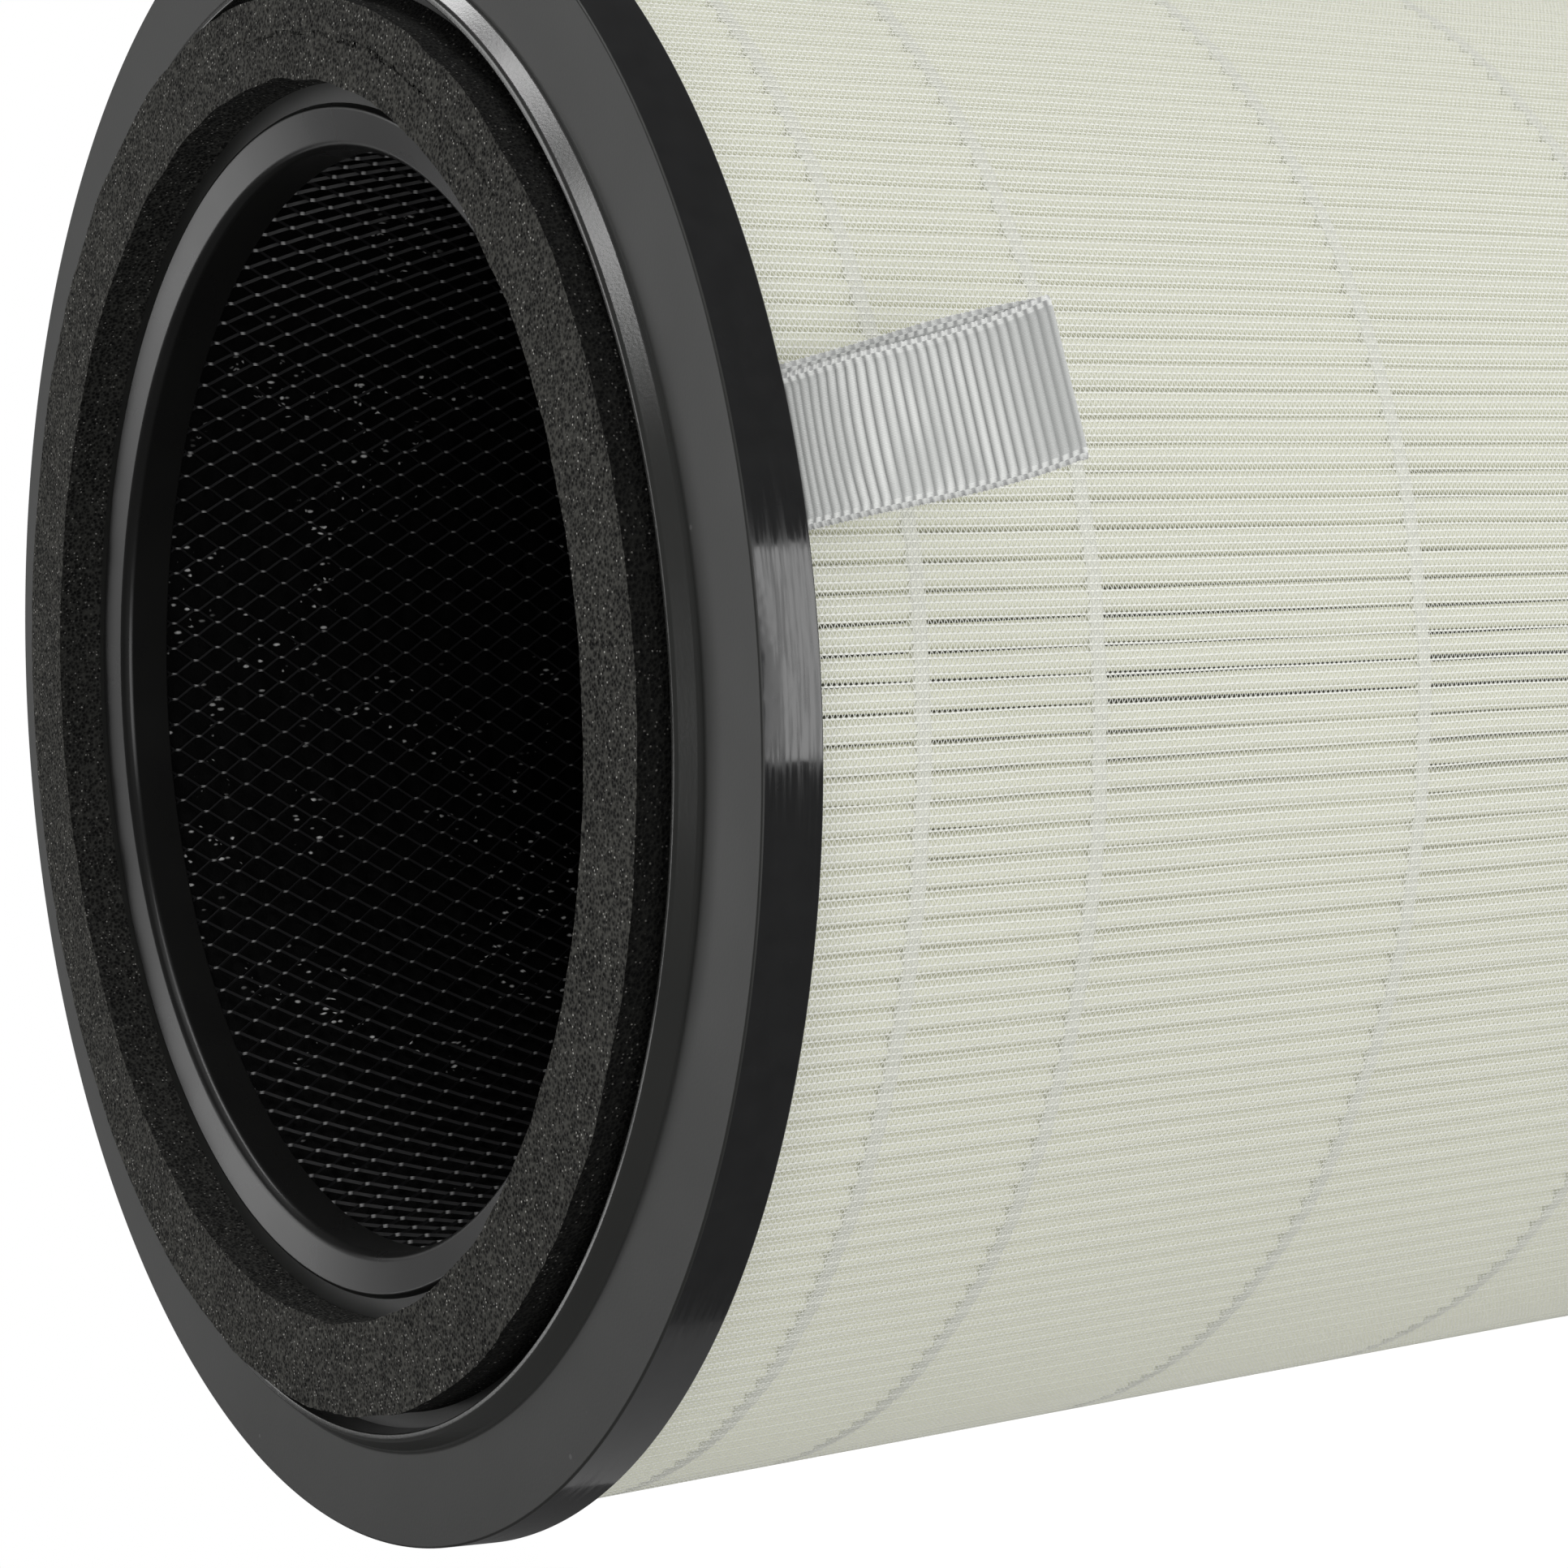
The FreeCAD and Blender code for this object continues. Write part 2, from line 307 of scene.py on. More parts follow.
cap_face = cap_face_finish("cap_face", 0.38, 1.46)
cap_bead = cap_face_finish("cap_bead", 0.14, 1.7)
cap_rim = cap_rim_finish()
cap_collar_painted_shade = cap_collar_finish()
cap_thickness = 2.4 * MM
rim_height = 7.7 * MM
edge_rounding = 0.3 * MM
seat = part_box("gasket_ring")[0].z
collar_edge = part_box("open_end_cap")[0].z
rim_edge = face - rim_height
rim_root_radius = cap_radius - 0.9 * MM
rim_mouth_radius = cap_radius - 0.1 * MM
bead_foot = cap_radius - 12.9 * MM
bead_from = face + 0.1 * MM
bead_shoulder = bead_foot - 1.7 * MM
bead_edge = bead_shoulder - 1.0 * MM
seat_outer = bead_edge - 0.3 * MM
lip_radius = 81.1 * MM
lip_top = face - 0.4 * MM
seat_inner = 81.7 * MM
mouth_radius = 76.3 * MM
mouth_level = face - 1.7 * MM
bore_radius = 75.6 * MM
bore_top = face - 2.9 * MM
collar_radius = 76.8 * MM
hair = 0.02 * MM
CAP_STEPS = 384

cap_outline = (
    (rim_reach, rim_edge, 0.2 * MM),
    (cap_radius, face, edge_rounding),
    (bead_foot, face, 0.5 * MM),
    (bead_shoulder, bead_top, 0.4 * MM),
    (bead_edge, bead_top, 0.2 * MM),
    (seat_outer, seat, 0),
    (seat_inner, seat, 0),
    (lip_radius, lip_top, 0.35 * MM),
    (mouth_radius, mouth_level, 0.5 * MM),
    (bore_radius, bore_top, 0.4 * MM),
    (bore_radius, collar_edge, 0.2 * MM),
    (collar_radius, collar_edge, 0),
    (collar_radius, face - cap_thickness, 0),
    (rim_root_radius, face - cap_thickness, 0),
    (rim_mouth_radius, rim_edge, 0.2 * MM),
)
cap_mesh = turned(cap_outline, CAP_STEPS)
for side in cap_mesh.faces:
    middle = side.calc_center_median()
    if middle.xy.length > cap_radius - hair and middle.z < face - edge_rounding:
        side.material_index = 1
    elif middle.xy.length < seat_inner + edge_rounding:
        side.material_index = 2
    elif middle.z > bead_from:
        side.material_index = 3
open_finishes = (cap_face, cap_rim, cap_collar_painted_shade, cap_bead)
open_cap = shape("open_cap_moulding", cap_mesh, open_finishes, "cap_plastic", "open_end_cap")
weigh_normals(open_cap)

# Closed end cap
# The plain tray at the other end, moulded like the first one but without a hole. The filter stands on it.
core_radius = 0.4 * MM

closed_outline = (
    (core_radius, 0.0, 0),
    (cap_radius, 0.0, edge_rounding),
    (rim_reach, rim_height, 0.2 * MM),
    (rim_mouth_radius, rim_height, 0.2 * MM),
    (rim_root_radius, cap_thickness, 0),
    (core_radius, cap_thickness, 0),
)
closed_mesh = turned(closed_outline, CAP_STEPS)
for level in (0.0, cap_thickness):
    inner = [vertex for vertex in closed_mesh.verts if vertex.co.xy.length < 2 * core_radius]
    core = [vertex for vertex in inner if abs(vertex.co.z - level) < cap_thickness / 2]
    bmesh.ops.pointmerge(closed_mesh, verts=core, merge_co=(0, 0, level))
for side in closed_mesh.faces:
    middle = side.calc_center_median()
    if middle.xy.length > cap_radius - hair and middle.z > edge_rounding:
        side.material_index = 1
closed_cap = shape("closed_cap_moulding", closed_mesh, (cap_face, cap_rim), "cap_plastic", "closed_end_cap")
weigh_normals(closed_cap)

# Foam gasket
# A ring cut from a sheet of open charcoal foam and laid into its seat by hand, so it is a little off centre
# and its cut sides waver. Sparkles of cut cell walls are painted into its colour as pale flecks.
foam_low, foam_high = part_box("gasket_ring")
foam_outer = foam_high.x
foam_width = 12.6 * MM
foam_inner = foam_outer - foam_width
foam_middle = (foam_inner + foam_outer) / 2
foam_lay = Vector((0.3 * MM, 0.35 * MM, 0))
foam_narrowing = 1.5 * MM
narrow_angle = -0.6
narrow_reach = 0.5
foam_waver = 0.5 * MM
foam_ripple = 0.12 * MM
foam_fray = 0.07 * MM
foam_pit = 0.05 * MM
glued_height = 2 * MM
FOAM_STEPS = 720


def foam_finish(name, pore, wall, sparkle):
    """Open cells with dark pores between paler walls, and a few painted sparkles as pale flecks."""
    finish = Finish(name, IOR=1.4, Specular_IOR_Level=0.3)
    place = finish.place()
    distance, chance = finish.grains(place, 1900.0)
    clumps = finish.noise(place, 1100.0, 3.0, 0.7)
    soft = finish.noise(place, 90.0, 2.0)
    glint, luck = finish.grains(place, 2300.0)
    # Painted sparkles: a few cells get a pale colour and less roughness.
    painted_sparkle = finish.between(glint, 0.15, 0.40, 1.0, 0.0) * finish.between(luck, 0.80, 1.0)
    cells = finish.between(distance * 0.5 + clumps * 0.5, 0.25, 0.70)
    shade = cells * 0.8 + (soft - 0.5) * 0.25
    finish.set(Base_Color=finish.blend(painted_sparkle, finish.blend(shade, pore, wall), sparkle))
    finish.set(Roughness=0.95 - painted_sparkle * 0.4)
    finish.bump(cells, 0.30 * MM, 0.9)
    return finish


def stepped(start, end, count):
    """Points along a straight side of an outline, without its end."""
    steps = [i / count for i in range(count)]
    return [(*(a + (b - a) * step for a, b in zip(start, end)), 0) for step in steps]


foam_corners = (
    (foam_inner, foam_low.z),
    (foam_outer, foam_low.z),
    (foam_outer, foam_high.z),
    (foam_inner, foam_high.z),
)
foam_outline = []
for start, end, count in zip(foam_corners, foam_corners[1:] + foam_corners[:1], (1, 7, 16, 7)):
    foam_outline += stepped(start, end, count)
foam_mesh = turned(foam_outline, FOAM_STEPS)
for vertex in foam_mesh.verts:
    point = vertex.co.copy()
    outward = Vector((point.x, point.y, 0)).normalized()
    edge_side = 1 if point.xy.length > foam_middle else -1
    cut = noise.noise(outward * 9 + Vector((0, 0, edge_side * 5))) * foam_waver
    cut += noise.noise(outward * 60 + Vector((3, 0, edge_side * 5))) * foam_ripple
    if edge_side > 0:
        from_narrow = (math.atan2(point.y, point.x) - narrow_angle) / narrow_reach
        cut -= foam_narrowing * math.exp(-(from_narrow ** 2))
    fray = noise.noise(point * 1400) * foam_fray
    share = min(1.0, (point.z - foam_low.z) / glued_height)
    vertex.co += (outward * (cut + fray) + foam_lay) * share
    vertex.co.z += noise.noise(point * 1100 + Vector((0, 0, 7))) * foam_pit * share
# The cut sides get darker copies of the foam's finish, the outer side darkest: painted shade.
for side in foam_mesh.faces:
    heights = [corner.co.z for corner in side.verts]
    if max(heights) - min(heights) > 0.4 * MM:
        side.material_index = 1 if side.calc_center_median().xy.length > foam_middle else 2
# foam_top is the lit finish; the side and bore finishes are the same foam painted darker as shade.
foam_top = foam_finish("foam_top", (0.001, 0.001, 0.001), (0.074, 0.073, 0.065), (0.44, 0.43, 0.40))
foam_side_painted_shade = foam_finish("foam_side_painted_shade", (0.001, 0.001, 0.001), (0.012, 0.012, 0.0105), (0.16, 0.155, 0.145))
foam_bore_painted_shade = foam_finish("foam_bore_painted_shade", (0.001, 0.001, 0.001), (0.032, 0.032, 0.029), (0.25, 0.245, 0.23))
foam_finishes = (foam_top, foam_side_painted_shade, foam_bore_painted_shade)
foam = shape("gasket_foam_ring", foam_mesh, foam_finishes, "gasket_foam", "gasket_ring")

# Pleated paper
# One band of creamy filter paper, folded to and fro two hundred times round the carbon. The stiff paper
# bulges at each fold. The folds stray a little, and the gap between two of them is widest right under
# the cap or a glue bead and closes towards the next bead.
media_low, media_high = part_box("pleated_media")
tip_radius = media_high.y
root_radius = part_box("carbon_cloth")[1].y + 0.05 * MM
layer_low = media_low.z
layer_high = media_high.z
PLEATS = 200
pitch = 2 * math.pi / PLEATS
tip_curl = 1.66 * MM
root_curl = 0.45 * MM
paper_thickness = 0.32 * MM
bead_drops = (23.6, 49.0, 100.3, 151.2, 202.5, 227.9)
gap_start = 1.5 * MM
long_span = 40 * MM
closed_slack = 0.02
least_slack = 0.05
usual_slack = 0.15
fold_stray = 0.22 * MM
fold_wobble = 0.10 * MM
fold_sink = 0.3 * MM
bead_levels = [face - drop * MM for drop in bead_drops]
span_tops = [layer_high] + [level - gap_start for level in bead_levels]
span_bottoms = bead_levels + [layer_low]
halfway = [(top + low) / 2 for top, low in zip(span_tops, span_bottoms) if top - low > long_span]
paper_levels = sorted(span_tops + span_bottoms + halfway)


def stray(angle, height):
    """How far a fold strays round the filter, in metres, at an angle and a height."""
    spot = Vector((math.cos(angle) * 24, math.sin(angle) * 24, height * 15))
    return noise.noise(spot) * fold_stray + noise.noise(spot * 2.3) * fold_wobble


def sink(angle, height):
    """How far a fold stays short of its full depth."""
    spot = Vector((math.cos(angle) * 20 + 40, math.sin(angle) * 20, height * 9))
    return abs(noise.noise(spot)) * fold_sink


def slack(angle, height):
    """The share by which a fold is narrower than it could be, at an angle and a height."""
    for top, low in zip(span_tops, span_bottoms):
        if low - hair <= height <= top + hair:
            spot = Vector((math.cos(angle) * 30, math.sin(angle) * 30 + 20, top * 90))
            widest = max(least_slack, usual_slack + noise.noise(spot) * 0.25)
            return closed_slack + widest * max(0.0, (height - low) / (top - low)) ** 1.5
    return closed_slack


def crest_near(angle):
    """The angle of the fold whose tip is nearest."""
    return math.floor(angle / pitch + 0.5) * pitch


def stretched_up(mesh, levels):
    """Raises a flat line of edges into a wall with a row of faces between every two levels."""
    rising = mesh.edges[:]
    for low, high in zip(levels, levels[1:]):
        made = bmesh.ops.extrude_edge_only(mesh, edges=rising)["geom"]
        fresh = [item for item in made if isinstance(item, bmesh.types.BMVert)]
        bmesh.ops.translate(mesh, verts=fresh, vec=(0, 0, high - low))
        reached = fresh[0].co.z
        lines = [item for item in made if isinstance(item, bmesh.types.BMEdge)]
        rising = [line for line in lines if all(abs(end.co.z - reached) < 1e-7 for end in line.verts)]


def polar(radius, angle, height):
    return radius * math.cos(angle), radius * math.sin(angle), height


def paper_finish():
    """Glass fibre paper with a painted glow: its emission stands for light coming through a fold, and fades
    to painted shade deep between the folds.
    """
    finish = Finish("filter_paper", Roughness=0.9, Specular_IOR_Level=0.15)
    place = finish.place()
    fibres = finish.noise(place, 1700.0, 4.0, 0.7)
    clouds = finish.noise(place, 60.0, 2.0)
    _, radius, _ = finish.round_place()
    base = finish.blend(fibres * 0.5 + clouds * 0.5, (0.52, 0.525, 0.435), (0.60, 0.605, 0.51))
    # Painted light: the emission is bright near the tips of the folds and nearly dark deep between them.
    depth = finish.between(radius, tip_radius - 6.5 * MM, tip_radius - 1.3 * MM)
    finish.set(Base_Color=base, Emission_Color=finish.blend(depth, (0.06, 0.06, 0.05), (0.68, 0.68, 0.56)))
    finish.set(Emission_Strength=0.24)
    finish.bump(fibres, 0.05 * MM, 0.4)
    return finish


def curl(middle, side, radius, start, end, count):
    """Points on a bulge of the fold, as a radius and an angle, from one turn in degrees to another."""
    turns = [math.radians(start + (end - start) * i / (count - 1)) for i in range(count)]
    return [(middle + radius * math.sin(turn), side + radius * math.cos(turn) / middle) for turn in turns]


fold = curl(root_radius + root_curl, -pitch / 2, root_curl, -90, -20, 3)
fold += curl(tip_radius - tip_curl, 0, tip_curl, 195, -15, 9)
fold += curl(root_radius + root_curl, pitch / 2, root_curl, 200, 270, 3)
paper_mesh = bmesh.new()
line = [paper_mesh.verts.new(polar(radius, angle, layer_low)) for radius, angle in fold]
for start, end in zip(line, line[1:]):
    paper_mesh.edges.new((start, end))
bmesh.ops.spin(
    paper_mesh,
    geom=paper_mesh.verts[:] + paper_mesh.edges[:],
    cent=(0, 0, 0),
    axis=(0, 0, 1),
    angle=2 * math.pi - pitch,
    steps=PLEATS - 1,
    use_duplicate=True,
)
bmesh.ops.remove_doubles(paper_mesh, verts=paper_mesh.verts, dist=1e-6)
stretched_up(paper_mesh, paper_levels)
for vertex in paper_mesh.verts:
    x, y, z = vertex.co
    radius = math.hypot(x, y)
    angle = math.atan2(y, x)
    depth = (radius - root_radius) / (tip_radius - root_radius)
    crest = crest_near(angle)
    side = stray(crest, z) * depth
    angle = crest + (angle - crest) * (1 - slack(crest, z) * depth)
    vertex.co = polar(radius - sink(crest, z) * depth, angle + side / tip_radius, z)
bmesh.ops.recalc_face_normals(paper_mesh, faces=paper_mesh.faces)
smoothed(paper_mesh)
paper = shape("folded_paper", paper_mesh, (paper_finish(),), "filter_paper", "pleated_media")
thick = paper.modifiers.new("paper_thickness", "SOLIDIFY")
thick.thickness = paper_thickness
thick.offset = -1

# Glue beads
# Beads of hot glue, laid round the folds an inch or two apart to keep them in step. They fill the gaps
# between the folds and cover their tips, and look a little bluer than the paper.
glue_bead_depth = 3.0 * MM
glue_bead_height = 2.7 * MM
glue_bead_rounding = 0.6 * MM
glue_skin_radius = tip_radius + 0.04 * MM
glue_dip = 0.25 * MM
glue_waver = 0.35 * MM


def glue_finish():
    """Cloudy adhesive, a little glossy."""
    finish = Finish("hot_glue", IOR=1.45, Roughness=0.45)
    clouds = finish.noise(finish.place(), 400.0, 3.0)
    finish.set(Base_Color=finish.blend(clouds, (0.63, 0.636, 0.555), (0.69, 0.696, 0.615)))
    finish.bump(clouds, 0.1 * MM, 0.5)
    return finish


hot_glue = glue_finish()
for count, level in enumerate(bead_levels, start=1):
    bead_outline = (
        (glue_skin_radius - glue_bead_depth, level, 0),
        (glue_skin_radius, level - glue_bead_height / 2, glue_bead_rounding),
        (glue_skin_radius, level + glue_bead_height / 2, glue_bead_rounding),
    )
    bead_mesh = turned(bead_outline, 4 * PLEATS)
    for vertex in bead_mesh.verts:
        x, y, z = vertex.co
        angle = math.atan2(y, x)
        crest = crest_near(angle)
        off = 2 * abs(angle - crest) / pitch
        radius = math.hypot(x, y) - glue_dip * off ** 4 - sink(crest, z) * (1 - off)
        z += noise.noise(Vector((math.cos(angle) * 12, math.sin(angle) * 12, level * 99))) * glue_waver
        vertex.co = polar(radius, angle + stray(crest, z) / tip_radius, z)
    shape(f"glue_bead_{count}", bead_mesh, (hot_glue,), "filter_paper")

# Netting
# A sleeve of white warp-knitted netting pulled over the folds. Chains of small stitches run along the filter
# and zigzag threads join each chain to the next, with open triangles between them.
netting_radius = tip_radius + 0.12 * MM
netting_sag = 0.22 * MM
thread_pitch = 0.90 * MM
stitch_length = 0.75 * MM
CHAINS = round(2 * math.pi * netting_radius / thread_pitch)
SPANS = 6


def netting_finish():
    """White yarn, knitted into chains and zigzags and clear between them, with painted shade where it lies
    low.
    """
    finish = Finish("netting_thread", IOR=1.5, Specular_IOR_Level=0.4)
    angle, _, height = finish.round_place()
    drift = finish.noise(finish.vector(angle * 6.0, height * 30.0, 0.0), 1.0, 1.0) - 0.5
    across = (angle * (CHAINS / (2 * math.pi)) + drift * 0.7) % 1.0
    along = (height / stitch_length) % 1.0
    from_chain = abs(across - 0.5)
    stitch = abs(along - 0.5)
    chain = finish.between(from_chain + stitch * stitch * 0.55, 0.13, 0.22, 1.0, 0.0)
    crossing = abs((across + 0.5) % 1.0 - abs(along * 2.0 - 1.0))
    zigzag = finish.between(crossing, 0.14, 0.27, 1.0, 0.0)
    fuzz = finish.noise(finish.place(), 5200.0, 2.0)
    lift = chain * (1.0 - stitch * 1.2) | zigzag * 0.45
    # The yarn is painted darker where it lies low, at the ends of the stitches and along the zigzags: painted
    # shade, with a random fuzz in its tone.
    finish.set(Base_Color=finish.blend(lift * 0.8 + fuzz * 0.2, (0.63, 0.635, 0.575), (0.82, 0.825, 0.775)))
    finish.set(Roughness=0.5 + fuzz * 0.2, Alpha=chain | zigzag * 0.85)
    finish.bump(lift, 0.12 * MM, 0.9)
    return finish


netting_mesh = bmesh.new()
bmesh.ops.create_circle(netting_mesh, segments=PLEATS * SPANS, radius=netting_radius, cap_ends=False)
bmesh.ops.translate(netting_mesh, verts=netting_mesh.verts, vec=(0, 0, layer_low))
stretched_up(netting_mesh, paper_levels)
for vertex in netting_mesh.verts:
    angle = math.atan2(vertex.co.y, vertex.co.x)
    z = vertex.co.z
    crest = crest_near(angle)
    off = 2 * abs(angle - crest) / pitch
    sag = netting_sag * math.sin(math.pi / 2 * off) ** 4
    radius = netting_radius - sag - sink(crest, z) * (1 - off)
    vertex.co = polar(radius, angle + stray(crest, z) * (1 - off) / netting_radius, z)
bmesh.ops.recalc_face_normals(netting_mesh, faces=netting_mesh.faces)
smoothed(netting_mesh)
netting = shape("knitted_netting", netting_mesh, (netting_finish(),), "netting", "outer_netting")

# Liner cloth
# White nonwoven wound between the folds and the carbon, which holds the fine grains back. It hardly shows.


def cloth_finish():
    """Bonded white fibres."""
    finish = Finish("liner_cloth", Roughness=0.9)
    fibres = finish.noise(finish.place(), 1500.0, 4.0, 0.7)
    finish.set(Base_Color=finish.blend(fibres, (0.62, 0.62, 0.60), (0.78, 0.78, 0.76)))
    finish.bump(fibres, 0.08 * MM, 0.6)
    return finish


cloth_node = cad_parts["carbon_cloth"]
cloth_node.data.materials.clear()
cloth_node.data.materials.append(cloth_finish().material)

# Carbon bed
# Black activated carbon, poured between the cloth and the net. Its surface is made of grains of about two
# millimetres, with painted glints of broken faces in patches here and there.
carbon_low, carbon_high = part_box("carbon_bed")
carbon_outer = carbon_high.y
carbon_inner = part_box("inner_net")[1].y + 0.1 * MM
grain = 2.3 * MM
grain_hollow = 1.3 * MM
GRAIN_STEPS = 360
GRAIN_ROWS = 190


def carbon_finish():
    """Dull black grains with dust on them, and here and there a painted glint of a broken face."""
    finish = Finish("carbon_grains", IOR=1.5, Specular_IOR_Level=0.12)
    place = finish.place()
    distance, chance = finish.grains(place, 430.0)
    dust = finish.noise(place, 1800.0, 3.0, 0.6)
    flecks = finish.node("Mapping", Vector=place, Scale=(1.0, 1.0, 0.45))["Vector"]
    fleck, luck = finish.grains(flecks, 1250.0)
    patch = finish.between(finish.noise(place, 45.0, 1.0), 0.52, 0.62)
    # Painted glints: small pale flecks in a few patches, with less roughness.
    painted_glint = (chance > 0.5) * finish.between(fleck, 0.15, 0.42, 1.0, 0.0) * (luck > 0.80) * patch
    dull = finish.blend(dust, (0.0008, 0.0008, 0.0008), (0.003, 0.003, 0.003))
    finish.set(Base_Color=finish.blend(painted_glint, dull, (0.75, 0.75, 0.74)))
    finish.set(Roughness=0.8 - painted_glint * 0.5)
    finish.bump(dust, 0.3 * MM, 0.7)
    return finish


bed_corners = (
    (carbon_outer, carbon_low.z, 0),
    (carbon_outer, carbon_high.z, 0),
    (carbon_inner, carbon_high.z),
    (carbon_inner, carbon_low.z),
)
bed_outline = [*bed_corners[:2], *stepped(bed_corners[2], bed_corners[3], GRAIN_ROWS), (*bed_corners[3], 0)]
bed_mesh = turned(bed_outline, GRAIN_STEPS)
for vertex in bed_mesh.verts:
    if vertex.co.xy.length < carbon_inner + 0.5 * MM:
        nearest = noise.voronoi(vertex.co / grain)[0][0]
        hollow = min(1.0, nearest * 1.6) ** 2 * grain_hollow
        vertex.co += Vector((vertex.co.x, vertex.co.y, 0)).normalized() * hollow
shape("carbon_grains_bed", bed_mesh, (carbon_finish(),), "carbon", "carbon_bed")

# Inner net
# A tube of black plastic net, drawn while hot, so that its strands flow into each other and thicken at every
# crossing. The openings are tall hexagons. It keeps the carbon off the fan.
net_radius = -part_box("inner_net")[0].y - 0.75 * MM
NET_COLUMNS = 122
cell_width = 2 * math.pi * net_radius / NET_COLUMNS
row_height = 3.7 * MM
crossing = 0.45 * MM
strand_width = 0.38 * MM
strand_depth = 0.45 * MM
NET_ROWS = int((layer_high - layer_low) / row_height / 2)
net_rise = layer_low + row_height


def net_finish():
    """Black polyethylene with a knot at each crossing, smoother than the strands and painted light grey as a
    highlight.
    """
    finish = Finish("net_plastic", IOR=1.5)
    angle, _, height = finish.round_place()
    marks = finish.noise(finish.place(), 700.0, 2.0)
    column = angle * (NET_COLUMNS / math.pi)
    row = (height - net_rise) / row_height
    beside = abs(column % 1.0 - 0.5) - 0.5
    above = abs(row % 1.0 - 0.5) - 0.5
    reach = ((beside * (cell_width / 2 / MM)) ** 2.0 + (above * (row_height / MM)) ** 2.0) ** 0.5
    knot_with_painted_glint = finish.between(reach, 0.1, 0.55, 1.0, 0.0)
    # Painted highlight: the knots are light grey on the black plastic.
    finish.set(Base_Color=finish.blend(knot_with_painted_glint, (0.020, 0.020, 0.021), (0.50, 0.50, 0.50)))
    finish.set(Roughness=0.42 + marks * 0.14 - knot_with_painted_glint * 0.26)
    finish.bump(knot_with_painted_glint + marks * 0.1, 0.25 * MM, 0.8)
    return finish


def net_layer(edge_depth, hole_depth, turned_over):
    """A flat layer of the net. The middles of its strands lie at one depth and their sides at another."""
    layer = bmesh.new()
    top = row_height - crossing
    half = cell_width / 2
    left_corners = ((0, top), (-half, crossing), (-half, -crossing))
    corners = (*left_corners, (0, -top), (half, -crossing), (half, crossing))
    cell = layer.faces.new([layer.verts.new((across, edge_depth, up)) for across, up in corners])
    straight = {"cent": (0, 0, 0), "axis": (0, 1, 0), "angle": 0, "use_duplicate": True}
    bmesh.ops.spin(layer, geom=[cell], dvec=(cell_width, 0, 0), steps=NET_COLUMNS - 1, **straight)
    copy = bmesh.ops.duplicate(layer, geom=layer.verts[:] + layer.edges[:] + layer.faces[:])["geom"]
    fresh = [item for item in copy if isinstance(item, bmesh.types.BMVert)]
    bmesh.ops.translate(layer, verts=fresh, vec=(cell_width / 2, 0, row_height))
    pair = layer.verts[:] + layer.edges[:] + layer.faces[:]
    bmesh.ops.spin(layer, geom=pair, dvec=(0, 0, 2 * row_height), steps=NET_ROWS - 1, **straight)
    bmesh.ops.remove_doubles(layer, verts=layer.verts, dist=1e-6)
    cells = layer.faces[:]
    bmesh.ops.inset_individual(layer, faces=cells, thickness=strand_width / 2, use_even_offset=True)
    for opening in cells:
        for corner in opening.verts:
            corner.co.y = hole_depth
    bmesh.ops.delete(layer, geom=cells, context="FACES_ONLY")
    if turned_over:
        bmesh.ops.reverse_faces(layer, faces=layer.faces)
    return layer


net_mesh = net_layer(0.0, strand_depth, False)
back_layer = net_layer(strand_depth, strand_depth, True)
back_data = bpy.data.meshes.new("net_back")
back_layer.to_mesh(back_data)
back_layer.free()
net_mesh.from_mesh(back_data)
bpy.data.meshes.remove(back_data)
bmesh.ops.remove_doubles(net_mesh, verts=net_mesh.verts, dist=1e-6)
for vertex in net_mesh.verts:
    across, depth, up = vertex.co
    vertex.co = polar(net_radius + depth, across / net_radius, up + net_rise)
bmesh.ops.remove_doubles(net_mesh, verts=net_mesh.verts, dist=1e-6)
bmesh.ops.recalc_face_normals(net_mesh, faces=net_mesh.faces)
smoothed(net_mesh, 80)
shape("diamond_net", net_mesh, (net_finish(),), "net_plastic", "inner_net")

# Pull ribbon
# Eighteen-millimetre grosgrain ribbon in silver grey, folded into a loop with both ends glued under the rim.
# Ribs run across it about a millimetre apart between beaded edges. The loop is slack near the rim and twists
# a little towards its fold.
ribbon_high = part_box("pull_ribbon")[1]
ribbon_width = 18.0 * MM
rib_pitch = 1.18 * MM
rib_rise = 0.2 * MM
edge_width = 1.1 * MM
ribbon_thickness = 0.2 * MM
ribbon_twist = math.radians(14)
ribbon_bow = 0.5 * MM
ribbon_arch = 0.55 * MM
ribbon_slack = 0.6 * MM
slack_reach = 0.62
root_bend = 3 * MM
cord_base = 0.10 * MM
cord_rise = 0.28 * MM
edge_waver = 0.16 * MM
ribbon_slide = 0.8 * MM
ribbon_droop = 1.0 * MM
fold_radius = 0.34 * MM
tuck = ribbon_high.z - rim_edge
root_point = Vector((0, -113.75 * MM, rim_edge))
end_point = Vector((0, -139.1 * MM, face - 28.1 * MM))
ribbon_length = (end_point - root_point).length
ribbon_along = (end_point - root_point).normalized()
ribbon_aside = ribbon_along.cross(Vector((1, 0, 0)))
ribbon_whole = 2 * (ribbon_length + tuck) + math.pi * fold_radius
RIB_CUTS = 8
RIBBON_CUTS = 30


